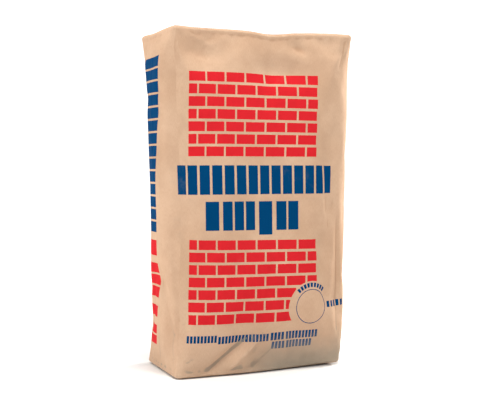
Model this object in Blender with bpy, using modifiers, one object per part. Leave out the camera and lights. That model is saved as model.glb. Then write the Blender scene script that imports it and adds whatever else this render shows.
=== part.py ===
"""A paper cement sack with glued block bottoms, filled, closed and standing on one end.

Metres, +Z up. The origin is on the floor under the middle of the sack. The wide front faces -Y,
the narrow sides face -X and +X, and the filling valve is at the top of the side at +X.
"""

import math

import bmesh
import bpy
from mathutils import Vector

# Height over both closing patches, and how far the ends round over into the sides.
HEIGHT = 0.630
END_RADIUS = 0.006

# Sections of the full sack, from the bottom up: share of the height, width, depth, upright edge
# radius, lean towards +X. The paper's girth stays near 1.04 m, so the sack is deeper where it is
# narrower.
SECTIONS = (
    (0.00, 0.343, 0.178, 0.008, -0.0046),
    (0.08, 0.344, 0.181, 0.030, -0.0031),
    (0.24, 0.350, 0.187, 0.050, 0.0009),
    (0.50, 0.363, 0.179, 0.056, 0.0017),
    (0.76, 0.376, 0.172, 0.056, 0.0005),
    (0.92, 0.378, 0.163, 0.040, -0.0011),
    (1.00, 0.374, 0.162, 0.008, -0.0031),
)

# How much further the middle of the front and back swells, and the ridge up each narrow side.
BELLY = 0.010
SIDE_RIDGE = 0.004

# Where the full sack is drawn in or out: the place, the reach and the shift along each axis. They
# are the lower right corner, the lower right of the front and the top's front left corner.
PULLS = (
    ((0.166, -0.090, 0.000), (0.045, 0.050, 0.030), (-0.009, 0.002, 0.0)),
    ((0.107, -0.090, 0.000), (0.085, 0.050, 0.065), (0.002, 0.014, 0.0)),
    ((-0.186, -0.082, 0.630), (0.035, 0.050, 0.030), (0.012, -0.002, 0.0)),
)

# Four plies of kraft paper, the single ply glued over each end, and the room between pieces.
WALL = 0.0005
PATCH_THICKNESS = 0.0005
CLEARANCE = 0.0003

# A closing patch stops short of the end's edges.
PATCH_MARGIN = 0.016
PATCH_CORNER = 0.005

# The valve sleeve is a paper tube pressed flat under the top, open at the narrow side.
SLEEVE_LENGTH = 0.115
SLEEVE_WIDTH = 0.112
SLEEVE_THICKNESS = 0.0012
SLEEVE_CORNER = 0.004
SLEEVE_DROP = 0.0006
MOUTH_INSET = 0.0045

# Edge loops of the sack's surface, as shares of its half width, half depth and height.
WIDTH_LOOPS = (0.0, 0.25, 0.5, 0.70, 0.83, 0.92, 0.965)
DEPTH_LOOPS = (0.0, 0.35, 0.60, 0.78, 0.90)
HEIGHT_LOOPS = (0.0, 0.16, 0.32, 0.47, 0.60, 0.72, 0.82, 0.90, 0.95, 0.98, 0.985, 0.995)

# Edge loops of a closing patch, as shares of its half width and half depth.
PATCH_WIDTH_LOOPS = (0.0, 0.25, 0.5, 0.72, 0.88)
PATCH_DEPTH_LOOPS = (0.0, 0.5, 0.8)

KRAFT = (0.70, 0.46, 0.30)
KRAFT_LIGHT = (0.74, 0.50, 0.34)
SLEEVE_PAPER = (0.80, 0.66, 0.50)
CEMENT_GREY = (0.36, 0.35, 0.33)

SACK_FLOOR = PATCH_THICKNESS + CLEARANCE
SACK_HEIGHT = HEIGHT - 2 * SACK_FLOOR
SACK_TOP = SACK_FLOOR + SACK_HEIGHT
TOP_SECTION = SECTIONS[-1]
BOTTOM_SECTION = SECTIONS[0]


def clear_scene():
    """Removes every object that the file opened with."""
    for old in list(bpy.data.objects):
        bpy.data.objects.remove(old)


def new_collection(name):
    """A collection of that name, linked to the scene."""
    made = bpy.data.collections.new(name)
    bpy.context.scene.collection.children.link(made)
    return made


def make_material(name, colour, roughness):
    """A matt Principled BSDF material of one colour."""
    material = bpy.data.materials.new(name)
    material.use_nodes = True
    shader = material.node_tree.nodes["Principled BSDF"]
    shader.inputs["Base Color"].default_value = (*colour, 1.0)
    shader.inputs["Roughness"].default_value = roughness
    shader.inputs["Metallic"].default_value = 0.0
    return material


def mix(low, high, share):
    """The value that lies that share of the way from low to high."""
    return low + (high - low) * share


def slope(index, column):
    """How fast a column of SECTIONS changes at one row, from its two neighbours."""
    before = SECTIONS[max(index - 1, 0)]
    after = SECTIONS[min(index + 1, len(SECTIONS) - 1)]
    return (after[column] - before[column]) / (after[0] - before[0])


def measure(share, column):
    """A column of SECTIONS at a share of the height, along a smooth curve through its rows."""
    last = len(SECTIONS) - 2
    index = min(last, sum(row[0] < share for row in SECTIONS[1:-1]))
    low, high = SECTIONS[index], SECTIONS[index + 1]
    span = high[0] - low[0]
    along = (share - low[0]) / span
    rise = slope(index, column) * span
    fall = slope(index + 1, column) * span
    smooth = along * along * (3 - 2 * along)
    bend = along * (1 - along) * ((1 - along) * rise - along * fall)
    return mix(low[column], high[column], smooth) + bend


def pulled(point):
    """The point after every pull. A pull fades with the distance from its place, as a bell."""
    moved = point.copy()
    for place, reach, shift in PULLS:
        away = [(point[axis] - place[axis]) / reach[axis] for axis in range(3)]
        moved += Vector(shift) * math.exp(-sum(part * part for part in away))
    return moved


def clamped(value, limit):
    """The value kept between minus limit and limit."""
    return max(-limit, min(limit, value))


def sack_point(unit):
    """Where a point of the cube from -1 to 1 lies on the sack's outside.

    The cube is stretched to the section at that height. What lies within a radius of an edge is
    drawn onto a quarter round. The front and back swell most at their middle, the narrow sides
    rise to a ridge, and the whole leans and is pulled.
    """
    share = unit.z / 2 + 0.5
    half_width, half_depth = measure(share, 1) / 2, measure(share, 2) / 2
    radius = measure(share, 3)
    half_height = SACK_HEIGHT / 2
    box = Vector((unit.x * half_width, unit.y * half_depth, unit.z * half_height))
    core = Vector(
        (
            clamped(box.x, half_width - radius),
            clamped(box.y, half_depth - radius),
            clamped(box.z, half_height - END_RADIUS),
        )
    )
    away = box - core
    away = Vector((away.x / radius, away.y / radius, away.z / END_RADIUS)).normalized()
    point = core + Vector((away.x * radius, away.y * radius, away.z * END_RADIUS))
    across = 1 - min(1.0, abs(point.x) / half_width) ** 2
    upward = 1 - abs(2 * share - 1) ** 3
    side = max(0.0, 1 - abs(point.y) / half_depth)
    point.x += math.copysign(SIDE_RIDGE * side * upward, point.x) + measure(share, 4)
    point.y *= 1 + BELLY / half_depth * across * upward
    point.z += SACK_FLOOR + half_height
    return pulled(point)


def cut_loops(shape, axis, shares):
    """Cuts an edge loop round the cube at each share of its half size, on both sides."""
    normal = Vector((0.0, 0.0, 0.0))
    normal[axis] = 1.0
    for share in shares:
        for place in {share, -share}:
            bmesh.ops.bisect_plane(
                shape,
                geom=shape.verts[:] + shape.edges[:] + shape.faces[:],
                plane_co=normal * place,
                plane_no=normal,
            )


def sack_surface(name):
    """The closed outer surface of the sack as a mesh of triangles."""
    shape = bmesh.new()
    bmesh.ops.create_cube(shape, size=2.0)
    for axis, shares in enumerate((WIDTH_LOOPS, DEPTH_LOOPS, HEIGHT_LOOPS)):
        cut_loops(shape, axis, shares)
    for vertex in shape.verts:
        vertex.co = sack_point(vertex.co)
    bmesh.ops.triangulate(shape, faces=shape.faces[:])
    mesh = bpy.data.meshes.new(name)
    shape.to_mesh(mesh)
    shape.free()
    mesh.shade_smooth()
    return mesh


def place(name, mesh, collection, material):
    """A new object of that mesh, with its material, in the collection."""
    made = bpy.data.objects.new(name, mesh)
    made.data.materials.append(material)
    collection.objects.link(made)
    return made


def cut_with(target, cutter):
    """Takes the cutter's shape out of the target with a Boolean modifier."""
    boolean = target.modifiers.new("cut_" + cutter.name, "BOOLEAN")
    boolean.operation = "DIFFERENCE"
    boolean.object = cutter


def box_between(name, low, high, collection, corner=0.0):
    """A box from its lowest to its highest corner, its upright edges rounded by corner."""
    shape = bmesh.new()
    bmesh.ops.create_cube(shape, size=1.0)
    size = Vector(high) - Vector(low)
    bmesh.ops.scale(shape, vec=size, verts=shape.verts[:])
    if corner:
        upright = [
            edge
            for edge in shape.edges
            if abs(edge.verts[0].co.z - edge.verts[1].co.z) > size.z / 2
        ]
        bmesh.ops.bevel(
            shape, geom=upright, offset=corner, segments=4, profile=0.5, affect="EDGES"
        )
    mesh = bpy.data.meshes.new(name)
    shape.to_mesh(mesh)
    shape.free()
    made = bpy.data.objects.new(name, mesh)
    made.location = (Vector(low) + Vector(high)) / 2
    collection.objects.link(made)
    return made


def make_cutter(name, low, high, collection):
    """A box that cuts other pieces and isn't one itself."""
    cutter = box_between(name, low, high, collection)
    cutter.hide_render = True
    cutter.display_type = "WIRE"
    return cutter


def make_sack(collection, material, mouth_cutter):
    """The paper sack: a thin wall all round, open only where the valve comes out."""
    sack = place("paper_sack", sack_surface("paper_sack"), collection, material)
    wall = sack.modifiers.new("paper_wall", "SOLIDIFY")
    wall.thickness = WALL
    wall.offset = -1.0
    cut_with(sack, mouth_cutter)
    return sack


def make_cement(collection, material, recess_cutter):
    """The cement powder, which fills the sack and lies under the valve sleeve."""
    cement = place("cement_fill", sack_surface("cement_fill"), collection, material)
    inset = cement.modifiers.new("inside_the_paper", "DISPLACE")
    inset.mid_level = 0.0
    inset.strength = -(WALL + CLEARANCE)
    cut_with(cement, recess_cutter)
    return cement


def make_patch(name, floor, section, collection, material):
    """The paper sheet glued over one folded end of the sack. It follows the end's pulls."""
    width, depth, lean = section[1], section[2], section[4]
    shape = bmesh.new()
    bmesh.ops.create_cube(shape, size=2.0)
    for axis, shares in enumerate((PATCH_WIDTH_LOOPS, PATCH_DEPTH_LOOPS)):
        cut_loops(shape, axis, shares)
    half_size = Vector(
        (width / 2 - PATCH_MARGIN, depth / 2 - PATCH_MARGIN, PATCH_THICKNESS / 2)
    )
    bmesh.ops.scale(shape, vec=half_size, verts=shape.verts[:])
    corners = [
        edge
        for edge in shape.edges
        if min(abs(vertex.co.x) for vertex in edge.verts) > half_size.x * 0.99
        and min(abs(vertex.co.y) for vertex in edge.verts) > half_size.y * 0.99
    ]
    bmesh.ops.bevel(
        shape, geom=corners, offset=PATCH_CORNER, segments=4, profile=0.5, affect="EDGES"
    )
    for vertex in shape.verts:
        vertex.co = pulled(vertex.co + Vector((lean, 0.0, floor + half_size.z)))
    mesh = bpy.data.meshes.new(name)
    shape.to_mesh(mesh)
    shape.free()
    return place(name, mesh, collection, material)


def sleeve_box(grown=0.0):
    """The lowest and highest corner of the flat valve sleeve, grown on every side."""
    width, lean = TOP_SECTION[1], TOP_SECTION[4]
    mouth = width / 2 + lean - MOUTH_INSET
    ceiling = SACK_TOP - WALL - SLEEVE_DROP
    floor = ceiling - SLEEVE_THICKNESS
    low = (mouth - SLEEVE_LENGTH - grown, -SLEEVE_WIDTH / 2 - grown, floor - grown)
    high = (mouth + grown, SLEEVE_WIDTH / 2 + grown, ceiling + grown)
    return low, high


def make_valve_cutters(collection):
    """The slot through the sack's wall, and the recess in the cement, round the sleeve."""
    low, high = sleeve_box(CLEARANCE)
    beyond = TOP_SECTION[1]
    slot = make_cutter("valve_slot", low, (beyond, high[1], high[2]), collection)
    recess = make_cutter("valve_recess", low, (beyond, high[1], SACK_TOP + beyond), collection)
    return slot, recess


def make_sleeve(collection, material):
    """The valve sleeve, pressed shut by the cement under it."""
    low, high = sleeve_box()
    sleeve = box_between("valve_sleeve", low, high, collection, SLEEVE_CORNER)
    sleeve.data.materials.append(material)
    return sleeve


def main():
    """Builds the sack, its contents, its valve and its two closing patches."""
    clear_scene()
    pieces = new_collection("cement_sack")
    cutters = new_collection("cutters")
    kraft = make_material("kraft_paper", KRAFT, 0.85)
    light_kraft = make_material("patch_paper", KRAFT_LIGHT, 0.85)
    sleeve_paper = make_material("sleeve_paper", SLEEVE_PAPER, 0.7)
    cement_powder = make_material("cement_powder", CEMENT_GREY, 0.95)

    slot, recess = make_valve_cutters(cutters)
    make_sack(pieces, kraft, slot)
    make_cement(pieces, cement_powder, recess)
    make_sleeve(pieces, sleeve_paper)
    make_patch("bottom_closing_patch", 0.0, BOTTOM_SECTION, pieces, light_kraft)
    make_patch("top_closing_patch", SACK_TOP + CLEARANCE, TOP_SECTION, pieces, light_kraft)


main()
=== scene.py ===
"""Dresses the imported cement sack: settled kraft paper, folded ends, valve, print and studio."""

import logging
from dataclasses import dataclass, field
from enum import Enum
from typing import Union

import bpy
import numpy as np
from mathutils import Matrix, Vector


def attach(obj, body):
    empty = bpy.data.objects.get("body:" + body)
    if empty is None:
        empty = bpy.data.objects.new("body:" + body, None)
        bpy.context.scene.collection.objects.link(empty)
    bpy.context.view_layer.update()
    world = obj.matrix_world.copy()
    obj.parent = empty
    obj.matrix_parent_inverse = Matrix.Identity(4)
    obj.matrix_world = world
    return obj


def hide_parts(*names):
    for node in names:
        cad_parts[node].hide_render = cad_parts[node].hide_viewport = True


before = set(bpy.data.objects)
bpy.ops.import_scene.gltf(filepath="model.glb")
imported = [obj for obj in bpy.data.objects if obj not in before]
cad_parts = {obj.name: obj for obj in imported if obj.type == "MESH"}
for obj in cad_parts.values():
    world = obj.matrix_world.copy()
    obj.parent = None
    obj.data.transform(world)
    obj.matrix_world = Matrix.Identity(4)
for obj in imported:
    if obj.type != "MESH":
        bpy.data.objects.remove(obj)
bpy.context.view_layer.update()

LOG = logging.getLogger("cement_sack")

Array = np.ndarray
Number = Union[float, "Wire"]
Colour = tuple[float, float, float, float]

# The body that every piece rides on.
BODY = "root"

# The mesh's map of places on the unrolled paper, and the values kept at each of its points: its
# way round as a cosine and a sine with its height, 1 on the wall and 0 on an end, and how sharp
# the paper is there.
PAPER_MAP = "paper"
PLACE = "paper_place"
WALL_SHARE = "wall_share"
FOLD_SHARPNESS = "fold_sharpness"

# The paper tube's girth, and how far apart the middles of its two flat halves lie.
GIRTH = 1.040
HALF_GIRTH = GIRTH / 2

# Where the ends' paper lies on the unrolled map, clear of everything printed.
END_MAP_OFFSET = 2.0

# The place that every lamp looks at.
LAMP_AIM = (0.0, 0.0, 0.3)


# Shader arithmetic


class Wire:
    """One output socket of a shader tree. Arithmetic on it adds Math nodes."""

    def __init__(self, tree: "ShaderTree", socket: bpy.types.NodeSocket) -> None:
        """Keeps the socket and the tree that new nodes go into."""
        self.tree = tree
        self.socket = socket

    def __add__(self, other: Number) -> "Wire":
        """The sum."""
        return self.tree.math("ADD", self, other)

    def __radd__(self, other: float) -> "Wire":
        """The sum, with a number on the left."""
        return self.tree.math("ADD", other, self)

    def __sub__(self, other: Number) -> "Wire":
        """The difference."""
        return self.tree.math("SUBTRACT", self, other)

    def __rsub__(self, other: float) -> "Wire":
        """The difference, with a number on the left."""
        return self.tree.math("SUBTRACT", other, self)

    def __mul__(self, other: Number) -> "Wire":
        """The product."""
        return self.tree.math("MULTIPLY", self, other)

    def __rmul__(self, other: float) -> "Wire":
        """The product, with a number on the left."""
        return self.tree.math("MULTIPLY", other, self)

    def __truediv__(self, other: Number) -> "Wire":
        """The quotient."""
        return self.tree.math("DIVIDE", self, other)

    def __lt__(self, other: Number) -> "Wire":
        """1 where the value is the smaller, and 0 elsewhere."""
        return self.tree.math("LESS_THAN", self, other)

    def __gt__(self, other: Number) -> "Wire":
        """1 where the value is the greater, and 0 elsewhere."""
        return self.tree.math("GREATER_THAN", self, other)

    def absolute(self) -> "Wire":
        """The value without its sign."""
        return self.tree.math("ABSOLUTE", self)

    def floor(self) -> "Wire":
        """The whole number below the value."""
        return self.tree.math("FLOOR", self)

    def fraction(self) -> "Wire":
        """What is left above the whole number below the value."""
        return self.tree.math("FRACT", self)

    def largest(self, other: Number) -> "Wire":
        """The greater of two values."""
        return self.tree.math("MAXIMUM", self, other)

    def between(self, low: float, high: float) -> "Wire":
        """1 where the value lies between two numbers, and 0 elsewhere."""
        middle, half = (low + high) / 2, (high - low) / 2
        return (self - middle).absolute() < half

    def ramp(self, low: float, high: float) -> "Wire":
        """A smooth rise from one value to another.

        Args:
            low: The value that gives 0. It may be the greater of the two.
            high: The value that gives 1.

        Returns:
            The rise, from 0 to 1.
        """
        settings = {"interpolation_type": "SMOOTHSTEP"}
        start, end = (low, high) if low < high else (high, low)
        node = self.tree.add(
            "ShaderNodeMapRange", settings, {"Value": self, "From Min": start, "From Max": end}
        )
        rise = self.tree.wire(node, "Result")
        return rise if low < high else 1.0 - rise


class ShaderTree:
    """A material's node tree, built through one method for every node."""

    def __init__(self, name: str) -> None:
        """Makes an empty material of that name.

        Args:
            name: The material's name.
        """
        self.material = bpy.data.materials.new(name)
        self.material.use_nodes = True
        self.material.node_tree.nodes.clear()

    def add(
        self,
        kind: str,
        settings: dict[str, object] | None = None,
        sockets: dict[str | int, object] | None = None,
    ) -> bpy.types.Node:
        """Adds one node.

        Args:
            kind: The node's type.
            settings: The node's own properties, which are set first.
            sockets: Values or wires by the socket's name or index.

        Returns:
            The node.
        """
        node = self.material.node_tree.nodes.new(kind)
        for name, value in (settings or {}).items():
            setattr(node, name, value)
        for name, value in (sockets or {}).items():
            if isinstance(value, Wire):
                self.material.node_tree.links.new(value.socket, node.inputs[name])
            else:
                node.inputs[name].default_value = value
        return node

    def wire(self, node: bpy.types.Node, output: str | int = 0) -> Wire:
        """The named output of a node."""
        return Wire(self, node.outputs[output])

    def math(self, operation: str, *values: Number) -> Wire:
        """A Math node on one or two values."""
        sockets = dict(enumerate(values))
        return self.wire(self.add("ShaderNodeMath", {"operation": operation}, sockets))

    def mix(self, share: Number, first: object, second: object) -> Wire:
        """The colour that lies that share of the way from the first to the second.

        Args:
            share: 0 gives the first colour, and 1 the second.
            first: A colour of four numbers, or a wire.
            second: A colour of four numbers, or a wire.

        Returns:
            The mixed colour.
        """
        node = self.add("ShaderNodeMix", {"data_type": "RGBA"}, {0: share, 6: first, 7: second})
        return self.wire(node, 2)

    def noise(self, place: Wire, scale: float, detail: float, roughness: float = 0.5) -> Wire:
        """Perlin noise about 0.5 at a place.

        Args:
            place: The vector that the noise is read at.
            scale: Waves per metre.
            detail: How many finer layers are added.
            roughness: How strong the finer layers are.

        Returns:
            The noise, from about 0 to 1.
        """
        sockets = {"Vector": place, "Scale": scale, "Detail": detail, "Roughness": roughness}
        return self.wire(self.add("ShaderNodeTexNoise", None, sockets))

    def vector(self, operation: str, first: object, second: object) -> Wire:
        """A Vector Math node on two vectors, each a wire or three numbers."""
        sockets = {0: first, 1: second}
        return self.wire(self.add("ShaderNodeVectorMath", {"operation": operation}, sockets))

    def stretched(self, place: Wire, scales: tuple[float, float, float]) -> Wire:
        """A place with each of its parts multiplied by its own number."""
        return self.vector("MULTIPLY", place, scales)

    def position(self) -> Wire:
        """The place on the object, in metres."""
        return self.wire(self.add("ShaderNodeTexCoord"), "Object")

    def paper(self) -> Wire:
        """The place on the unrolled paper, in metres."""
        return self.wire(self.add("ShaderNodeUVMap", {"uv_map": PAPER_MAP}))

    def fold_sharpness(self) -> Wire:
        """How sharp the paper is: 0.5 where it is flat, 1 on a ridge and 0 in a crease."""
        return self.wire(self.add("ShaderNodeAttribute", {"attribute_name": FOLD_SHARPNESS}), "Fac")

    def parts(self, vector: Wire) -> tuple[Wire, Wire, Wire]:
        """The three numbers of a vector."""
        node = self.add("ShaderNodeSeparateXYZ", None, {0: vector})
        return self.wire(node, 0), self.wire(node, 1), self.wire(node, 2)

    def bumps(self, height: Wire, depth: float, under: Wire | None = None) -> Wire:
        """A normal that follows a height.

        Args:
            height: The height, from 0 to 1.
            depth: How many metres 1 stands for.
            under: A normal that this one is laid over.

        Returns:
            The normal.
        """
        sockets: dict[str | int, object] = {"Height": height, "Distance": depth, "Strength": 1.0}
        if under is not None:
            sockets["Normal"] = under
        return self.wire(self.add("ShaderNodeBump", None, sockets))

    def surface(
        self, colour: object, roughness: Number, normal: Wire | None, **more: object
    ) -> bpy.types.Material:
        """Ends the tree in a Principled shader.

        Args:
            colour: The base colour.
            roughness: The roughness.
            normal: The normal, or None.
            more: Other sockets by name, with _ for a space.

        Returns:
            The material.
        """
        sockets: dict[str | int, object] = {"Base Color": colour, "Roughness": roughness}
        if normal is not None:
            sockets["Normal"] = normal
        sockets |= {name.replace("_", " "): value for name, value in more.items()}
        shader = self.add("ShaderNodeBsdfPrincipled", None, sockets)
        self.add("ShaderNodeOutputMaterial", None, {"Surface": self.wire(shader)})
        return self.material


def colour_of(red: int, green: int, blue: int) -> Colour:
    """A colour given as a screen shows it, in the linear numbers that shaders take.

    Args:
        red: From 0 to 255.
        green: From 0 to 255.
        blue: From 0 to 255.

    Returns:
        The linear red, green and blue, and 1 for opaque.
    """
    share = np.array([red, green, blue]) / 255
    linear = np.where(share < 0.04045, share / 12.92, ((share + 0.055) / 1.055) ** 2.4)
    return (*map(float, linear), 1.0)


# Finishes


@dataclass(frozen=True)
class KraftPaper:
    """Unbleached paper: a warm tan, clouded, with fibres that run up the sack."""

    light: Colour = colour_of(205, 172, 145)
    dark: Colour = colour_of(191, 157, 130)
    fibre: Colour = colour_of(160, 120, 90)
    crease: Colour = colour_of(222, 192, 166)
    roughness: float = 0.78
    sheen: float = 0.02
    # How many clouds, strands, flecks, cockles and duller patches lie along a metre.
    cloud_scale: float = 7.0
    fibre_across: float = 1500.0
    fibre_along: float = 170.0
    fleck_across: float = 2600.0
    fleck_along: float = 420.0
    cockle_scale: float = 55.0
    cockle_squash: float = 0.55
    patch_scale: float = 40.0
    # How far they change the paper.
    strand_cover: float = 0.22
    fleck_cover: float = 0.35
    grain_depth: float = 0.00012
    cockle_depth: float = 0.0009
    patch_change: float = 0.12

    def coloured(self, tree: ShaderTree, place: Wire) -> Wire:
        """The paper's colour before anything is printed on it.

        Args:
            tree: The shader tree.
            place: Where on the paper, in metres.

        Returns:
            The colour.
        """
        clouds = tree.noise(place, self.cloud_scale, 5.0, 0.6).ramp(0.34, 0.66)
        base = tree.mix(clouds, self.dark, self.light)
        along_fibres = tree.stretched(place, (self.fibre_across, self.fibre_along, 1.0))
        strands = tree.noise(along_fibres, 1.0, 3.0).ramp(0.35, 0.75)
        along_flecks = tree.stretched(place, (self.fleck_across, self.fleck_along, 1.0))
        flecks = tree.noise(along_flecks, 1.0, 1.0).ramp(0.66, 0.74)
        streaked = tree.mix(strands * self.strand_cover, base, self.fibre)
        return tree.mix(flecks * self.fleck_cover, streaked, self.fibre)

    def relief(self, tree: ShaderTree, place: Wire) -> Wire:
        """The paper's small unevenness as a normal: cockles, then the grain of its fibres.

        Args:
            tree: The shader tree.
            place: Where on the paper, in metres.

        Returns:
            The normal.
        """
        squashed = tree.stretched(place, (1.0, self.cockle_squash, 1.0))
        cockles = tree.noise(squashed, self.cockle_scale, 3.0, 0.45)
        along_fibres = tree.stretched(place, (self.fibre_across, self.fibre_along * 2, 1.0))
        grain = tree.noise(along_fibres, 0.6, 2.0)
        return tree.bumps(grain, self.grain_depth, tree.bumps(cockles, self.cockle_depth))

    def dulled(self, tree: ShaderTree, place: Wire) -> Wire:
        """The paper's roughness, which changes a little from patch to patch."""
        patches = tree.noise(place, self.patch_scale, 2.0) - 0.5
        return self.roughness + patches * self.patch_change

    def material(self, name: str) -> bpy.types.Material:
        """Plain paper without print.

        Args:
            name: The material's name.

        Returns:
            The material.
        """
        tree = ShaderTree(name)
        place = tree.paper()
        colour = self.coloured(tree, place)
        roughness = self.dulled(tree, place)
        relief = self.relief(tree, place)
        return tree.surface(colour, roughness, relief, Specular_IOR_Level=self.sheen)


@dataclass(frozen=True)
class DustAndPaintedShade:
    """Grey dust mixed with painted shade low on the sack, most at the right and in creases, and
    faint scuffs. Metres.
    """

    colour: Colour = colour_of(140, 136, 124)
    # It thins out from the full height up to the clear one, unevenly by the drift.
    full_height: float = 0.010
    clear_height: float = 0.085
    drift: float = 0.06
    drift_scale: float = 22.0
    # It rises from the left cover by the added cover between these places across the front.
    left: float = -0.07
    right: float = 0.03
    left_cover: float = 0.08
    added_cover: float = 0.60
    crease_full_height: float = 0.060
    crease_clear_height: float = 0.110
    crease_cover: float = 0.55
    scuff_scale: float = 9.0
    scuff_cover: float = 0.16

    def laid_on(self, tree: ShaderTree, colour: Wire) -> Wire:
        """A colour with the dust and the painted shade over it.

        Args:
            tree: The shader tree.
            colour: The colour under the dust and the painted shade.

        Returns:
            The colour.
        """
        place = tree.position()
        across, _, height = tree.parts(place)
        drift = tree.noise(place, self.drift_scale, 5.0, 0.6)
        # Painted shade mixed with dust: the grey cover low down grows towards the right of the
        # front.
        amount = across.ramp(self.left, self.right) * self.added_cover + self.left_cover
        level = height + (drift - 0.5) * self.drift
        low = level.ramp(self.clear_height, self.full_height) * amount
        # Painted shade mixed with dust in the creases near the floor.
        near_floor = height.ramp(self.crease_clear_height, self.crease_full_height)
        crease_dust_and_shade = tree.fold_sharpness().ramp(0.47, 0.30) * near_floor * self.crease_cover
        scuffs = tree.noise(place, self.scuff_scale, 7.0, 0.7).ramp(0.6, 0.76)
        cover = low.largest(scuffs * self.scuff_cover).largest(crease_dust_and_shade)
        return tree.mix(cover, colour, self.colour)


@dataclass(frozen=True)
class BrickPanel:
    """A printed panel of brickwork in running bond, on the unrolled paper, in metres."""

    left: float
    right: float
    bottom: float
    top: float
    lean: float = 0.0
    slope: float = 0.0
    first_course_staggered: bool = False
    courses: int = 7
    bricks: float = 6.5
    joint_across: float = 0.090
    joint_up: float = 0.215
    stagger: float = 0.45

    def mask(self, across: Wire, up: Wire) -> Wire:
        """1 on a brick and 0 on a joint or outside the panel.

        The panel is cut into courses, and each course into bricks. Every other course is
        shifted by the stagger. What lies in a cell's last share is joint. The lean shifts
        a course by its height above the panel's middle, and the slope lets it climb.

        Args:
            across: Metres along the girth.
            up: Metres up the sack.

        Returns:
            The mask.
        """
        pitch_across = (self.right - self.left) / self.bricks
        pitch_up = (self.top - self.bottom) / (self.courses - self.joint_up)
        if self.lean:
            across = across - (up - (self.bottom + self.top) / 2) * self.lean
        if self.slope:
            up = up - (across - self.left) * self.slope
        course = (self.top - up) / pitch_up
        odd = (course.floor() * 0.5).fraction() * 2.0
        shift = (1.0 - odd) if self.first_course_staggered else odd
        cell = ((across - self.left) / pitch_across + shift * self.stagger).fraction()
        brick = (cell < 1.0 - self.joint_across) * (course.fraction() < 1.0 - self.joint_up)
        inside = across.between(self.left, self.right) * up.between(self.bottom, self.top)
        return brick * inside


def row_of_bars(along: Wire, start: float, end: float, bars: int, gap: float) -> Wire:
    """1 on each of a row's bars, where a gap is a share of the way from bar to bar.

    Args:
        along: Metres along the row.
        start: Where the first bar starts.
        end: Where the last bar ends.
        bars: How many bars there are.
        gap: The gap's share.

    Returns:
        The mask.
    """
    pitch = (end - start) / (bars - gap)
    return (((along - start) / pitch).fraction() < 1.0 - gap) * along.between(start, end)


@dataclass(frozen=True)
class BarRow:
    """A printed row of upright bars, like bricks stood on end, which may climb or fall."""

    left: float
    right: float
    bottom: float
    top: float
    bars: int
    gap: float = 0.2
    slope: float = 0.0

    def mask(self, across: Wire, up: Wire) -> Wire:
        """1 on a bar and 0 between bars or outside the row.

        Args:
            across: Metres along the girth.
            up: Metres up the sack.

        Returns:
            The mask.
        """
        level = up - (across - self.left) * self.slope if self.slope else up
        bars = row_of_bars(across, self.left, self.right, self.bars, self.gap)
        return bars * level.between(self.bottom, self.top)


@dataclass(frozen=True)
class Ring:
    """A thin printed circle with an arc of small bars over it, in a disc without bricks.

    The arc's inner and outer edge are given in radii, and its start and end in radians.
    """

    across: float = 0.0905
    up: float = 0.1195
    radius: float = 0.0318
    line: float = 0.0014
    clear: float = 0.0475
    arc_inner: float = 1.14
    arc_outer: float = 1.40
    arc_start: float = 0.82
    arc_end: float = 2.36
    arc_bars: int = 9
    arc_gap: float = 0.3

    def distance(self, tree: ShaderTree, across: Wire, up: Wire) -> Wire:
        """How far a place on the paper is from the ring's middle."""
        sideways, upward = across - self.across, up - self.up
        return tree.math("SQRT", sideways * sideways + upward * upward)

    def mask(self, tree: ShaderTree, across: Wire, up: Wire) -> Wire:
        """1 on the circle's line and on the arc's bars.

        Args:
            tree: The shader tree.
            across: Metres along the girth.
            up: Metres up the sack.

        Returns:
            The mask.
        """
        away = self.distance(tree, across, up)
        line = (away - self.radius).absolute() < self.line / 2
        angle = tree.math("ARCTAN2", up - self.up, across - self.across)
        bars = row_of_bars(angle, self.arc_start, self.arc_end, self.arc_bars, self.arc_gap)
        band = away.between(self.radius * self.arc_inner, self.radius * self.arc_outer)
        return line.largest(bars * band)


@dataclass(frozen=True)
class SideColumn:
    """Blocks stacked up each narrow side, blue over red, leaning towards the back.

    Places across count from the front's middle. Each stack has its foot, its head and its count.
    """

    middle: float = 0.264
    half_width: float = 0.047
    back_edge: float = 0.325
    lean: float = 0.125
    gap: float = 0.16
    top: float = 0.5811
    blue: tuple[tuple[float, float, int], ...] = ((0.2593, 0.5811, 14),)
    red: tuple[tuple[float, float, int], ...] = (
        (0.2153, 0.2442, 1),
        (0.1346, 0.2007, 3),
        (0.0983, 0.1191, 1),
        (0.0459, 0.0831, 2),
    )

    def masks(self, across: Wire, up: Wire) -> tuple[Wire, Wire]:
        """1 on the blue blocks, and 1 on the red blocks.

        Args:
            across: Metres along the girth.
            up: Metres up the sack.

        Returns:
            The blue mask and the red mask.
        """
        away = ((across / GIRTH + 0.5).fraction() - 0.5).absolute() * GIRTH
        sideways = away - self.middle - (self.top - up) * self.lean
        inside = (sideways.absolute() < self.half_width) * (away < self.back_edge)
        inks = []
        for stacks in (self.blue, self.red):
            blocks = [row_of_bars(up, *stack, self.gap) for stack in stacks]
            inks.append(sum(blocks[1:], blocks[0]) * inside)
        return inks[0], inks[1]


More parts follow.
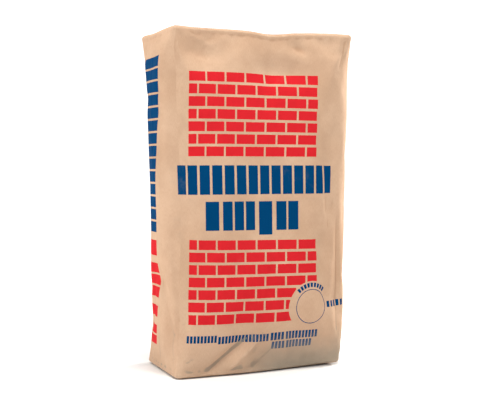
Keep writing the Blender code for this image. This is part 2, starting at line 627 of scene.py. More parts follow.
@dataclass(frozen=True)
class PrintedKraft:
    """Kraft paper printed in red and blue, rubbed at its creases with painted shade in their
    hollows, and dusty near the floor with painted shade mixed in.
    """

    paper: KraftPaper = KraftPaper()
    dust_and_shade: DustAndPaintedShade = DustAndPaintedShade()
    red: Colour = colour_of(202, 37, 44)
    blue: Colour = colour_of(0, 60, 104)
    ink_roughness: float = 0.8
    ink_cover: float = 1.06
    ink_grain: float = 900.0
    ink_change: float = 0.15
    ink_creep: float = 0.0009
    creep_scale: float = 420.0
    rub_scale: float = 90.0
    rub_cover: float = 0.35
    # How far the creases are painted darker as shade.
    crease_shade_cover: float = 0.35
    panels: tuple[BrickPanel, ...] = (
        BrickPanel(-0.1540, 0.1040, 0.3983, 0.5495, 0.05),
        BrickPanel(-0.1590, 0.1015, 0.0982, 0.2492, 0.0, -0.018, True),
    )
    rows: tuple[BarRow, ...] = (
        BarRow(-0.1838, 0.1417, 0.3298, 0.3822, 14, 0.19),
        BarRow(-0.1265, -0.1011, 0.2655, 0.3172, 1, 0.0),
        BarRow(-0.0940, -0.0302, 0.2650, 0.3172, 3, 0.17),
        BarRow(-0.0221, 0.0055, 0.2561, 0.3170, 1, 0.0),
        BarRow(0.0141, 0.0600, 0.2640, 0.3168, 2, 0.15),
        BarRow(-0.1602, -0.1024, 0.0652, 0.0782, 9, 0.28, -0.020),
        BarRow(-0.0994, 0.0030, 0.0608, 0.0746, 15, 0.28, -0.010),
        BarRow(0.0074, 0.0355, 0.0602, 0.0748, 4, 0.28),
        BarRow(0.0398, 0.1069, 0.0602, 0.0748, 10, 0.28),
        BarRow(0.0113, 0.0377, 0.0433, 0.0575, 4, 0.28),
        BarRow(0.0421, 0.0958, 0.0433, 0.0575, 8, 0.28),
        BarRow(0.1280, 0.1790, 0.1154, 0.1271, 5, 0.35),
    )
    # The brickwork is spaced wider to the right. It is even in a coordinate that departs from
    # metres between these two places, as a parabola whose strength changes across the front.
    uneven: tuple[float, float] = (-0.1565, 0.1028)
    stretch: float = 0.474
    stretch_change: float = -2.04
    ring: Ring = Ring()
    column: SideColumn = SideColumn()

    def material(self, name: str) -> bpy.types.Material:
        """The printed paper's material.

        Args:
            name: The material's name.

        Returns:
            The material.
        """
        tree = ShaderTree(name)
        place = tree.paper()
        across, up, _ = tree.parts(self.spread(tree, place))
        red, blue = self.inks(tree, across, up)
        # Ridges rubbed paler, and painted shade in the creases.
        colour = self.rubbed(tree, self.paper.coloured(tree, place))
        cover = self.ink_cover + (tree.noise(place, self.ink_grain, 2.0) - 0.5) * self.ink_change
        colour = tree.mix(red * cover, colour, self.red)
        colour = tree.mix(blue * cover, colour, self.blue)
        # Dust with painted shade, low on the sack.
        colour = self.dust_and_shade.laid_on(tree, colour)
        smoother = self.ink_roughness - self.paper.roughness
        roughness = self.paper.dulled(tree, place) + red.largest(blue) * smoother
        relief = self.paper.relief(tree, place)
        return tree.surface(colour, roughness, relief, Specular_IOR_Level=self.paper.sheen)

    def rubbed(self, tree: ShaderTree, colour: Wire) -> Wire:
        """Paper whose sharp ridges are rubbed paler and whose creases are painted darker, as
        shade.

        Args:
            tree: The shader tree.
            colour: The paper's colour.

        Returns:
            The colour.
        """
        fold_sharpness = tree.fold_sharpness()
        patches = tree.noise(tree.position(), self.rub_scale, 3.0, 0.6).ramp(0.3, 0.7)
        rubbed = fold_sharpness.ramp(0.60, 0.95) * patches * self.rub_cover
        pale = tree.mix(rubbed, colour, self.paper.crease)
        # Painted shade: the creases are darkened towards the fibre colour.
        return tree.mix(fold_sharpness.ramp(0.44, 0.2) * self.crease_shade_cover, pale, self.paper.fibre)

    def spread(self, tree: ShaderTree, place: Wire) -> Wire:
        """A place moved by a hair, as ink creeps along fibres.

        Args:
            tree: The shader tree.
            place: The place on the paper.

        Returns:
            The place that the print is read at.
        """
        sockets = {"Vector": place, "Scale": self.creep_scale, "Detail": 2.0}
        noise = tree.wire(tree.add("ShaderNodeTexNoise", None, sockets), 1)
        centred = tree.vector("SUBTRACT", noise, (0.5, 0.5, 0.5))
        moved = tree.stretched(centred, (self.ink_creep, self.ink_creep, 0.0))
        return tree.vector("ADD", place, moved)

    def inks(self, tree: ShaderTree, across: Wire, up: Wire) -> tuple[Wire, Wire]:
        """Where the red and the blue are printed. The back carries the front's print.

        Args:
            tree: The shader tree.
            across: Metres along the girth from the middle of the front.
            up: Metres up the sack.

        Returns:
            The red mask and the blue mask.
        """
        blue_blocks, red_blocks = self.column.masks(across, up)
        face = ((across / HALF_GIRTH + 0.5).fraction() - 0.5) * HALF_GIRTH
        left, right = self.uneven
        change = face * self.stretch_change + self.stretch
        even = face + (face - left) * (right - face) * change
        away = self.ring.distance(tree, face, up)
        bricks = self.panels[0].mask(even, up).largest(self.panels[1].mask(even, up))
        red = (bricks * (away > self.ring.clear)).largest(red_blocks)
        blue = self.ring.mask(tree, face, up).largest(blue_blocks)
        for row in self.rows:
            blue = blue.largest(row.mask(face, up))
        return red, blue


@dataclass(frozen=True)
class SleevePaper:
    """Smoother, paler paper, rubbed with a little cement."""

    paper: Colour = colour_of(214, 192, 164)
    grey: Colour = colour_of(150, 146, 136)
    smear_scale: float = 60.0
    smear_cover: float = 0.6
    fuzz_scale: float = 500.0
    fuzz_depth: float = 0.0002
    roughness: float = 0.7

    def material(self, name: str) -> bpy.types.Material:
        """The sleeve's material.

        Args:
            name: The material's name.

        Returns:
            The material.
        """
        tree = ShaderTree(name)
        place = tree.position()
        smear = tree.noise(place, self.smear_scale, 4.0, 0.6).ramp(0.45, 0.7)
        colour = tree.mix(smear * self.smear_cover, self.paper, self.grey)
        fuzz = tree.noise(place, self.fuzz_scale, 2.0)
        return tree.surface(colour, self.roughness, tree.bumps(fuzz, self.fuzz_depth))


@dataclass(frozen=True)
class CementPowder:
    """Dry grey powder, packed by its own weight."""

    light: Colour = colour_of(166, 163, 156)
    dark: Colour = colour_of(132, 130, 124)
    clump_scale: float = 35.0
    grit_scale: float = 900.0
    grit_depth: float = 0.0006
    roughness: float = 0.95

    def material(self, name: str) -> bpy.types.Material:
        """The powder's material.

        Args:
            name: The material's name.

        Returns:
            The material.
        """
        tree = ShaderTree(name)
        place = tree.position()
        clumps = tree.noise(place, self.clump_scale, 6.0, 0.65)
        grit = tree.noise(place, self.grit_scale, 3.0)
        colour = tree.mix(clumps, self.dark, self.light)
        return tree.surface(colour, self.roughness, tree.bumps(grit, self.grit_depth))


@dataclass(frozen=True)
class StudioPaper:
    """A pale seamless backdrop that glows but for the floor round the sack."""

    colour: Colour = (0.86, 0.86, 0.86, 1.0)
    shade: Colour = (0.84, 0.84, 0.84, 1.0)
    roughness: float = 0.6
    glow: float = 0.53
    glow_start: float = 0.5
    glow_full: float = 1.6

    def material(self, name: str) -> bpy.types.Material:
        """The backdrop's material.

        Args:
            name: The material's name.

        Returns:
            The material.
        """
        tree = ShaderTree(name)
        place = tree.position()
        colour = tree.mix(tree.noise(place, 3.0, 3.0), self.colour, self.shade)
        right, back, _ = tree.parts(place)
        away = tree.math("SQRT", right * right + back * back)
        share = away.ramp(self.glow_start, self.glow_full)
        glow = tree.mix(share, (0.0, 0.0, 0.0, 1.0), (1.0, 1.0, 1.0, 1.0))
        lit = {"Emission_Color": glow, "Emission_Strength": self.glow}
        return tree.surface(colour, self.roughness, None, **lit)


# Meshes


@dataclass
class MeshArrays:
    """Points, four-sided faces and the faces' corners on the unrolled paper, gathered in parts."""

    points: list[Array] = field(default_factory=list)
    faces: list[Array] = field(default_factory=list)
    corners: list[Array] = field(default_factory=list)
    count: int = 0

    def add_points(self, points: Array) -> Array:
        """Adds points.

        Args:
            points: A grid of points, with x, y, z along the last axis.

        Returns:
            The points' numbers, in the shape of the grid.
        """
        flat = points.reshape(-1, 3)
        numbers = self.count + np.arange(len(flat)).reshape(points.shape[:-1])
        self.points.append(flat)
        self.count += len(flat)
        return numbers

    def add_faces(self, numbers: Array, places: Array) -> None:
        """Adds the faces of a grid of point numbers.

        A face runs from a point along its row, then to the next row and back.

        Args:
            numbers: The grid's point numbers.
            places: The grid's places on the unrolled paper.
        """
        self.faces.append(self.cells(numbers).reshape(-1, 4))
        self.corners.append(self.cells(places).reshape(-1, 2))

    @staticmethod
    def cells(grid: Array) -> Array:
        """The four corners of each cell of a grid, along a new axis behind the grid's own."""
        return np.stack([grid[:-1, :-1], grid[:-1, 1:], grid[1:, 1:], grid[1:, :-1]], 2)

    def piece(self, name: str) -> bpy.types.Object:
        """Makes a smooth mesh object, linked to the scene.

        Args:
            name: The object's name.

        Returns:
            The object.
        """
        points, faces = np.concatenate(self.points), np.concatenate(self.faces)
        mesh = bpy.data.meshes.new(name)
        mesh.vertices.add(len(points))
        mesh.vertices.foreach_set("co", np.ascontiguousarray(points, np.float32).ravel())
        mesh.loops.add(faces.size)
        mesh.loops.foreach_set("vertex_index", np.ascontiguousarray(faces, np.int32).ravel())
        mesh.polygons.add(len(faces))
        mesh.polygons.foreach_set("loop_start", np.arange(0, faces.size, 4, dtype=np.int32))
        mesh.update(calc_edges=True)
        layer = mesh.uv_layers.new(name=PAPER_MAP)
        corners = np.ascontiguousarray(np.concatenate(self.corners), np.float32)
        layer.uv.foreach_set("vector", corners.ravel())
        mesh.shade_smooth()
        made = bpy.data.objects.new(name, mesh)
        bpy.context.scene.collection.objects.link(made)
        return made


def points_of(mesh: bpy.types.Mesh) -> Array:
    """The places of a mesh's points.

    Args:
        mesh: The mesh.

    Returns:
        x, y and z, one row for each point.
    """
    flat = np.empty(len(mesh.vertices) * 3, np.float32)
    mesh.vertices.foreach_get("co", flat)
    return flat.reshape(-1, 3).astype(float)


def set_points(mesh: bpy.types.Mesh, points: Array) -> None:
    """Moves a mesh's points to new places."""
    mesh.vertices.foreach_set("co", np.ascontiguousarray(points, np.float32).ravel())
    mesh.update()


def normals_of(mesh: bpy.types.Mesh) -> Array:
    """The normals at a mesh's points.

    Args:
        mesh: The mesh.

    Returns:
        x, y and z, one row for each point.
    """
    flat = np.empty(len(mesh.vertices) * 3, np.float32)
    mesh.vertex_normals.foreach_get("vector", flat)
    return flat.reshape(-1, 3).astype(float)


def values_of(mesh: bpy.types.Mesh, name: str, width: int = 1) -> Array:
    """A point attribute's values.

    Args:
        mesh: The mesh.
        name: The attribute's name.
        width: How many numbers each point has.

    Returns:
        One row for each point, or one number for each where the width is 1.
    """
    flat = np.empty(len(mesh.vertices) * width, np.float32)
    mesh.attributes[name].data.foreach_get("value" if width == 1 else "vector", flat)
    return (flat if width == 1 else flat.reshape(-1, width)).astype(float)


def set_values(mesh: bpy.types.Mesh, name: str, values: Array) -> None:
    """Stores a number or a vector for each point.

    Args:
        mesh: The mesh.
        name: The attribute's name.
        values: One number or one row of three for each point.
    """
    kind, key = ("FLOAT", "value") if values.ndim == 1 else ("FLOAT_VECTOR", "vector")
    attribute = mesh.attributes.new(name, kind, "POINT")
    attribute.data.foreach_set(key, np.ascontiguousarray(values, np.float32).ravel())


def apply_modifiers(piece: bpy.types.Object) -> None:
    """Gives a piece the mesh that its modifiers make of it, and takes them off.

    Args:
        piece: The piece.
    """
    graph = bpy.context.evaluated_depsgraph_get()
    made = bpy.data.meshes.new_from_object(
        piece.evaluated_get(graph), preserve_all_data_layers=True, depsgraph=graph
    )
    piece.modifiers.clear()
    old, piece.data = piece.data, made
    bpy.data.meshes.remove(old)


def subdivide(piece: bpy.types.Object, levels: int = 1) -> None:
    """Smooths a piece by subdivision and keeps the result as its mesh.

    Args:
        piece: The piece.
        levels: How many times each face is cut in four.
    """
    smoother = piece.modifiers.new("smooth_paper", "SUBSURF")
    smoother.levels = smoother.render_levels = levels
    apply_modifiers(piece)


def smooth_step(value: Array) -> Array:
    """0 below 0, 1 above 1 and a smooth rise between them."""
    share = np.clip(value, 0.0, 1.0)
    return share * share * (3 - 2 * share)


def stations_at(place: Array, stations: Array, values: Array) -> Array:
    """A smooth curve through values at stations.

    Between two stations it is a cubic with the slope at each end that the neighbours give.

    Args:
        place: Where the curve is read.
        stations: The stations, rising.
        values: The curve's value at each station.

    Returns:
        The curve's value at each place.
    """
    slopes = np.gradient(values, stations)
    low = np.clip(np.searchsorted(stations, place) - 1, 0, len(stations) - 2)
    span = stations[low + 1] - stations[low]
    along = np.clip((place - stations[low]) / span, 0, 1)
    rise, fall = slopes[low] * span, slopes[low + 1] * span
    share = along * along * (3 - 2 * along)
    bend = along * (1 - along) * ((1 - along) * rise - along * fall)
    return values[low] * (1 - share) + values[low + 1] * share + bend


# The sack's form


class End(Enum):
    """One end of the sack, by the way it faces."""

    BOTTOM = -1
    TOP = 1


@dataclass(frozen=True)
class Hollow:
    """A soft hollow, round or long, on the unrolled paper or on an end. Metres and degrees."""

    across: float
    up: float
    half_width: float
    half_height: float
    depth: float
    turned: float = 0.0

    def depth_at(self, across: Array, up: Array) -> Array:
        """Depth at each place: a bell that falls off from the middle along two turned axes.

        Args:
            across: Metres across.
            up: Metres up.

        Returns:
            How far each place is pushed in, in metres.
        """
        angle = np.radians(self.turned)
        right, rise = across - self.across, up - self.up
        along = (right * np.cos(angle) + rise * np.sin(angle)) / self.half_width
        over = (rise * np.cos(angle) - right * np.sin(angle)) / self.half_height
        return self.depth * np.exp(-(along**2) - over**2)


@dataclass(frozen=True)
class Fold:
    """A straight fold in the paper from one place to another: a valley, or a ridge if below 0."""

    start: tuple[float, float]
    end: tuple[float, float]
    half_width: float
    depth: float

    def depth_at(self, across: Array, up: Array) -> Array:
        """Depth at each place: it falls off with the distance from the line and towards its ends.

        Args:
            across: Metres along the girth.
            up: Metres up the sack.

        Returns:
            How far each place is pushed in, in metres.
        """
        run, rise = self.end[0] - self.start[0], self.end[1] - self.start[1]
        length = np.hypot(run, rise)
        right, over = across - self.start[0], up - self.start[1]
        along = (right * run + over * rise) / length**2
        away = np.abs(over * run - right * rise) / length / self.half_width
        fade = np.sin(np.pi * np.clip(along, 0, 1)) ** 0.7
        return self.depth * fade * np.exp(-(away**1.5))


@dataclass(frozen=True)
class Pull:
    """A push or pull on everything near a place, as where a corner was knocked. Metres."""

    place: tuple[float, float, float]
    reach: tuple[float, float, float]
    shift: tuple[float, float, float]

    def moved(self, points: Array) -> Array:
        """How far each point moves: a bell round the place, with its own reach along each axis.

        Args:
            points: Places, with x, y, z along the last axis.

        Returns:
            The shift of each point.
        """
        away = (points - np.array(self.place)) / np.array(self.reach)
        share = np.exp(-(away**2).sum(-1))
        return share[..., None] * np.array(self.shift)


@dataclass(frozen=True)
class SackForm:
    """The full sack's outer shape before its paper settles, in metres."""

    floor: float = 0.0016
    ceiling: float = 0.6288
    edge: float = 0.0050
    heights: tuple[float, ...] = (0.0, 0.05, 0.15, 0.315, 0.48, 0.58, 0.630)
    widths: tuple[float, ...] = (0.343, 0.339, 0.347, 0.358, 0.370, 0.373, 0.374)
    depths: tuple[float, ...] = (0.178, 0.183, 0.182, 0.175, 0.168, 0.163, 0.162)
    radii: tuple[float, ...] = (0.007, 0.020, 0.032, 0.036, 0.034, 0.026, 0.007)
    leans: tuple[float, ...] = (-0.0015, 0.0005, 0.003, 0.0045, 0.0035, 0.0018, 0.0)
    belly: float = 0.009
    side_ridge: float = 0.004
    offset: float = -0.0031
    fade_height: float = 0.10
    corner_drawn_in: float = 0.6
    least_radius: float = 0.003
    crowding: float = 0.06
    columns_wide: int = 52
    columns_deep: int = 24
    rows: int = 84
    hollows: tuple[Hollow, ...] = (
        Hollow(0.020, -0.085, 0.036, 0.045, 0.0055),
        Hollow(-0.020, 0.085, 0.070, 0.045, 0.0035),
        Hollow(-0.185, 0.000, 0.040, 0.040, 0.0030),
        Hollow(0.0, 0.0, 0.140, 0.060, 0.0015),
    )
    pulls: tuple[Pull, ...] = (
        Pull((0.169, -0.090, 0.0), (0.045, 0.050, 0.030), (-0.009, 0.002, 0.0025)),
        Pull((0.110, -0.090, 0.0), (0.085, 0.050, 0.065), (0.002, 0.014, 0.0010)),
        Pull((0.150, -0.080, 0.63), (0.060, 0.060, 0.050), (0.0, 0.0, 0.0030)),
        Pull((-0.183, -0.082, 0.63), (0.035, 0.050, 0.030), (0.012, -0.002, 0.0015)),
    )

    @property
    def columns(self) -> int:
        """How many columns of paper go round the sack."""
        return 2 * (self.columns_wide + self.columns_deep)

    def measure(self, values: tuple[float, ...], height: Array) -> Array:
        """One of the form's measures at each height."""
        return stations_at(height, np.array(self.heights), np.array(values))

    @staticmethod
    def outline(share: Array, wide: Array, deep: Array, radius: Array) -> tuple[Array, Array]:
        """A rounded rectangle, by the share of its girth from the middle of the front.

        The way round is a straight, a quarter circle, the side, a quarter circle and a straight.
        Each stretch adds what it covers of the way, and the left half mirrors the right.

        Args:
            share: From -0.5 to 0.5, positive towards +X.
            wide: Half width.
            deep: Half depth.
            radius: Radius of the four corners.

        Returns:
            x and y of each place.
        """
        girth = 4 * (wide + deep) - (8 - 2 * np.pi) * radius
        way = np.abs(share) * girth
        front, turn, side = wide - radius, np.pi * radius / 2, 2 * (deep - radius)
        first = np.clip(way, 0, front)
        near = np.clip(way - front, 0, turn) / radius
        back = np.clip(way - front - turn, 0, side)
        far = np.clip(way - front - turn - side, 0, turn) / radius
        last = np.clip(way - front - 2 * turn - side, 0, front)
        x = first + radius * np.sin(near) - radius * (1 - np.cos(far)) - last
        y = -deep + radius * (1 - np.cos(near)) + back + radius * np.sin(far)
        return np.sign(share) * x, y

    def top_at(self, x: Array, y: Array) -> Array:
        """Height of the top end's paper at each place."""
        return self.ceiling - sum(hollow.depth_at(x, y) for hollow in self.hollows)

    def wall(self, share: Array, height: Array, inset: Array) -> Array:
        """Points of the sack's wall.

        The outline at a height is swollen at the middle of its front and back, and its narrow
        sides rise to a ridge, both most at half height. The top's hollows pull down what is
        just below them.

        Args:
            share: Share of the girth, from -0.5 to 0.5.
            height: Height over the floor.
            inset: How far the outline is drawn in, where the wall rounds over into an end.

        Returns:
            Points, with x, y, z along the last axis.
        """
        wide = self.measure(self.widths, height) / 2
        deep = self.measure(self.depths, height) / 2
        corner = self.measure(self.radii, height) - self.corner_drawn_in * inset
        corner = np.maximum(corner, self.least_radius)
        x, y = self.outline(share, wide - inset, deep - inset, corner)
        rise = np.clip((height - self.floor) / (self.ceiling - self.floor), 0, 1)
        middle = 1 - np.abs(2 * rise - 1) ** 3
        ridge = self.side_ridge * np.clip(1 - np.abs(y) / deep, 0, 1) * middle
        y = y * (1 + self.belly / deep * np.clip(1 - (x / wide) ** 2, 0, 1) * middle)
        near_top = smooth_step((height - self.ceiling) / self.fade_height + 1)
        drop = (self.ceiling - self.top_at(x, y)) * near_top
        x = x + np.sign(x) * ridge + self.measure(self.leans, height)
        return np.stack([x, y, height - drop], -1)

    def rows_up(self) -> tuple[Array, Array]:
        """The wall's rows: a quarter round, rows that crowd at their ends, and a quarter round.

        Returns:
            Each row's height, and how far it is drawn in.
        """
        arc = np.radians([0.0, 45.0, 90.0])
        low = self.floor + self.edge * (1 - np.cos(arc))
        drawn_in = self.edge * (1 - np.sin(arc))
        share = np.linspace(0, 1, self.rows)
        share = share - self.crowding * np.sin(2 * np.pi * share)
        bottom, top = self.floor + self.edge, self.ceiling - self.edge
        middle = bottom + (top - bottom) * share[1:-1]
        height = np.concatenate([low, middle, self.floor + self.ceiling - low[::-1]])
        inset = np.concatenate([drawn_in, 0 * middle, drawn_in[::-1]])
        return height, inset

    def end_numbers(self, loop: Array) -> Array:
        """Lays a loop's numbers round an end's grid.

        Args:
            loop: The numbers, one for each column.

        Returns:
            The grid, with -1 inside the loop.
        """
        wide, deep = self.columns_wide, self.columns_deep
        number = np.full((wide + 1, deep + 1), -1)
        number[:, 0] = loop[: wide + 1]
        number[wide, :] = loop[wide : wide + deep + 1]
        number[::-1, deep] = loop[wide + deep : 2 * wide + deep + 1]
        number[0, ::-1] = loop[np.arange(2 * wide + deep, self.columns + 1) % self.columns]
        return number

    def end_points(self, loop: Array) -> Array:
        """Fills a closed loop of columns with a grid whose sides are the loop's four runs.

        Each point lies between its row's ends and its column's ends, less the plain blend of the
        four corners, so that the grid meets the loop.

        Args:
            loop: The loop's points, one for each column.

        Returns:
            The grid, with the sides included.
        """
        wide, deep = self.columns_wide, self.columns_deep
        number = self.end_numbers(np.arange(self.columns))
        on_side = number >= 0
        grid = np.zeros((wide + 1, deep + 1, 3))
        grid[on_side] = loop[number[on_side]]
        across = (np.arange(wide + 1) / wide)[:, None, None]
        over = (np.arange(deep + 1) / deep)[None, :, None]
        rows = (1 - across) * grid[:1] + across * grid[-1:]
        columns = (1 - over) * grid[:, :1] + over * grid[:, -1:]
        low = (1 - across) * grid[:1, :1] + across * grid[-1:, :1]
        high = (1 - across) * grid[:1, -1:] + across * grid[-1:, -1:]
        inside = rows + columns - ((1 - over) * low + over * high)
        return np.where(on_side[..., None], grid, inside)

    def bent(self, points: Array) -> Array:
        """Points after every pull, never pulled below the floor, and then shifted by the offset.

        Args:
            points: Places, with x, y, z along the last axis.

        Returns:
            The new places.
        """
        moved = points + sum(pull.moved(points) for pull in self.pulls)
        moved[..., 2] = np.maximum(moved[..., 2], np.minimum(points[..., 2], 0.0))
        return moved + np.array([self.offset, 0.0, 0.0])


@dataclass(frozen=True)
class PaperSettling:
    """How the paper settles on its load: as stiff cloth, a little too big, pressed from inside."""

    frames: int = 25
    quality: int = 8
    stretch: float = 1000.0
    shear: float = 300.0
    bending: float = 20.0
    mass: float = 0.1
    damping: float = 20.0
    air_damping: float = 5.0
    pressure: float = 5.0
    spare_paper: float = 0.005
    most_moved: float = 0.008
    broad: float = 0.045
    broad_kept: float = 0.1

    def settle(self, piece: bpy.types.Object, held: Array, rows: Array, columns: int) -> None:
        """Runs the cloth simulation and keeps its last frame, less most of the broad swell.

        Args:
            piece: The sack, whose wall's points come first, row by row.
            held: True for each point that stays where it is.
            rows: The height of each of the wall's rows.
            columns: How many points each row has.
        """
        start = points_of(piece.data)
        pins = piece.vertex_groups.new(name="held")
        pins.add([int(index) for index in np.flatnonzero(held)], 1.0, "REPLACE")
        cloth = piece.modifiers.new("settle", "CLOTH")
        paper = cloth.settings
        paper.quality = self.quality
        paper.mass = self.mass
        paper.tension_stiffness = paper.compression_stiffness = self.stretch
        paper.shear_stiffness = self.shear
        paper.bending_model = "ANGULAR"
        paper.bending_stiffness = self.bending
        paper.tension_damping = paper.compression_damping = self.damping
        paper.shear_damping = self.damping
        paper.air_damping = self.air_damping
        paper.vertex_group_mass = pins.name
        paper.shrink_min = paper.shrink_max = -self.spare_paper
        paper.use_pressure = True
        paper.uniform_pressure_force = self.pressure
        paper.effector_weights.gravity = 0.0
        cloth.collision_settings.use_collision = False
        cloth.point_cache.frame_start = 1
        cloth.point_cache.frame_end = self.frames
        for number in range(1, self.frames + 1):
            bpy.context.scene.frame_set(number)
        graph = bpy.context.evaluated_depsgraph_get()
        moved = points_of(piece.evaluated_get(graph).data) - start
        piece.modifiers.clear()
        piece.vertex_groups.clear()
        bpy.context.scene.frame_set(1)
        wall = moved[: len(rows) * columns].reshape(len(rows), columns, 3)
        free = ~held[: len(rows) * columns].reshape(len(rows), columns, 1)
        wall -= (1 - self.broad_kept) * self.broad_part(wall, rows) * free
        length = np.linalg.norm(moved, axis=1, keepdims=True)
        moved *= self.most_moved / np.maximum(length, self.most_moved)
        set_points(piece.data, start + moved)
        LOG.info("paper settled, furthest %.1f mm", 1000 * length.max())

    def broad_part(self, moved: Array, rows: Array) -> Array:
        """What is left of a movement after a weighted mean over each point's surroundings.

        The weights are bells of the distance, up the wall and round it.

        Args:
            moved: How each point of the wall moved, by row and column.
            rows: The height of each row.

        Returns:
            The broad part of the movement.
        """
        columns = moved.shape[1]
        up = np.exp(-(((rows[:, None] - rows[None, :]) / self.broad) ** 2) / 2)
        apart = np.abs(np.arange(columns)[:, None] - np.arange(columns)[None, :])
        apart = np.minimum(apart, columns - apart) * GIRTH / columns
        around = np.exp(-((apart / self.broad) ** 2) / 2)
        up, around = up / up.sum(1, keepdims=True), around / around.sum(1, keepdims=True)
        return np.einsum("rs,sck,dc->rdk", up, moved, around)


@dataclass
class PaperSack:
    """The printed sack: one tube of paper round the load, closed at both ends."""

    form: SackForm = field(default_factory=SackForm)
    settling: PaperSettling = field(default_factory=PaperSettling)
    finish: PrintedKraft = field(default_factory=PrintedKraft)
    side_fold: float = 0.0008
    side_fold_width: float = 0.004
    side_fold_fade: float = 0.03
    seam_place: float = 0.445
    seam_step: float = 0.0008
    seam_rise: float = 0.004
    seam_lap: float = 0.050
    # What is pressed in keeps this far from an end and fades in over this height.
    end_kept: float = 0.004
    end_fade: float = 0.016
    held_edges: float = 1.3
    sharpness: float = 4.0
    hollows: tuple[Hollow, ...] = (
        Hollow(0.038, 0.556, 0.060, 0.026, 0.0095),
        Hollow(0.068, 0.600, 0.022, 0.010, 0.0042, -20.0),
        Hollow(-0.114, 0.578, 0.030, 0.026, 0.0072),
        Hollow(0.100, 0.0265, 0.022, 0.010, 0.0028),
        Hollow(-0.177, 0.330, 0.017, 0.220, 0.0040),
        Hollow(0.134, 0.320, 0.040, 0.220, 0.0085),
        Hollow(-0.060, 0.260, 0.060, 0.120, -0.0025),
    )
    folds: tuple[Fold, ...] = (
        Fold((-0.170, 0.628), (-0.095, 0.594), 0.006, -0.0016),
        Fold((-0.170, 0.500), (-0.170, 0.524), 0.003, -0.0012),
        Fold((0.171, 0.628), (0.163, 0.560), 0.008, 0.0034),
        Fold((0.128, 0.330), (0.141, 0.200), 0.006, 0.0010),
        Fold((0.137, 0.270), (0.138, 0.055), 0.010, -0.0030),
        Fold((0.165, 0.300), (0.157, 0.050), 0.010, 0.0044),
        Fold((-0.125, 0.002), (-0.040, 0.070), 0.008, 0.0092),
        Fold((-0.094, -0.010), (-0.008, 0.072), 0.009, -0.0060),
        Fold((-0.050, -0.010), (0.020, 0.050), 0.011, 0.0050),
    )

    def build(self) -> bpy.types.Object:
        """Makes the sack and settles its paper.

        Returns:
            The sack.
        """
        piece = self.base_piece()
        height = values_of(piece.data, PLACE, 3)[:, 2]
        margin = self.held_edges * self.form.edge
        held = (height < self.form.floor + margin) | (height > self.form.ceiling - margin)
        rows, _ = self.form.rows_up()
        self.settling.settle(piece, held, rows, self.form.columns)
        return piece

    def finish_paper(self, piece: bpy.types.Object) -> None:
        """Smooths the settled sack, folds and bends it, and gives it its print.

        Args:
            piece: The sack.
        """
        subdivide(piece)
        self.work(piece, 0.0)
        self.store_fold_sharpness(piece)
        piece.data.materials.append(self.finish.material("printed_kraft"))

    def base_piece(self) -> bpy.types.Object:
        """Makes the closed sack from its wall's grid and its two ends' grids.

        Returns:
            The sack, with each point's place on the paper.
        """
        form, arrays = self.form, MeshArrays()
        share = (np.arange(form.columns + 1) - form.columns_wide / 2) / form.columns
        height, inset = form.rows_up()
        shares, heights = np.meshgrid(share[:-1], height)
        turned = np.where(shares > 0.5, shares - 1, shares)
        wall = form.wall(turned, heights, np.repeat(inset[:, None], form.columns, 1))
        number = arrays.add_points(wall)
        around = np.concatenate([number, number[:, :1]], 1)
        unrolled = np.stack(np.meshgrid(share * GIRTH, height), -1)
        arrays.add_faces(around, unrolled)
        angle = 2 * np.pi * turned
        places = [np.stack([np.cos(angle), np.sin(angle), heights], -1).reshape(-1, 3)]
        for row, end in ((0, End.BOTTOM), (len(height) - 1, End.TOP)):
            grid = form.end_points(wall[row])
            numbers = form.end_numbers(number[row])
            free = numbers < 0
            if end is End.TOP:
                grid[free, 2] = form.top_at(grid[free, 0], grid[free, 1])
            numbers[free] = arrays.add_points(grid[free])
            places.append(np.tile([0.0, 0.0, height[row]], (int(free.sum()), 1)))
            flat = grid[..., :2] + np.array([0.0, END_MAP_OFFSET * end.value])
            if end is End.TOP:
                numbers, flat = numbers.T, flat.transpose(1, 0, 2)
            arrays.add_faces(numbers, flat)
        piece = arrays.piece("printed_paper_sack")
        set_values(piece.data, PLACE, np.concatenate(places))
        on_wall = np.arange(arrays.count) < number.size
        set_values(piece.data, WALL_SHARE, on_wall.astype(float))
        return piece

    def work(self, piece: bpy.types.Object, inset: float) -> None:
        """Presses folds, hollows and the seam into the wall, and bends the whole sack.

        A side fold is a narrow ridge at a quarter of the girth. The seam is a step where the
        sheet's edge laps over, which dies away on its far side.

        Args:
            piece: The sack, or the load inside it.
            inset: How far the piece lies inside the paper.
        """
        place = values_of(piece.data, PLACE, 3)
        on_wall = values_of(piece.data, WALL_SHARE)
        share = np.arctan2(place[:, 1], place[:, 0]) / (2 * np.pi)
        across, up = share * GIRTH, place[:, 2]
        end = np.minimum(up - self.form.floor, self.form.ceiling - up)
        fade = smooth_step((end - self.end_kept) / self.end_fade) * on_wall
        away = np.abs(np.abs(share) - 0.25) * GIRTH
        ridge = np.exp(-((away / self.side_fold_width) ** 2))
        out = self.side_fold * ridge * smooth_step(end / self.side_fold_fade)
        lap = (share - self.seam_place) * GIRTH
        step = self.seam_step * smooth_step(lap / self.seam_rise + 0.5)
        out = out + step * smooth_step(1 - lap / self.seam_lap)
        for dent in (*self.hollows, *self.folds):
            out = out - dent.depth_at(across, up)
        points = points_of(piece.data) + normals_of(piece.data) * (out * fade - inset)[:, None]
        set_points(piece.data, self.form.bent(points))

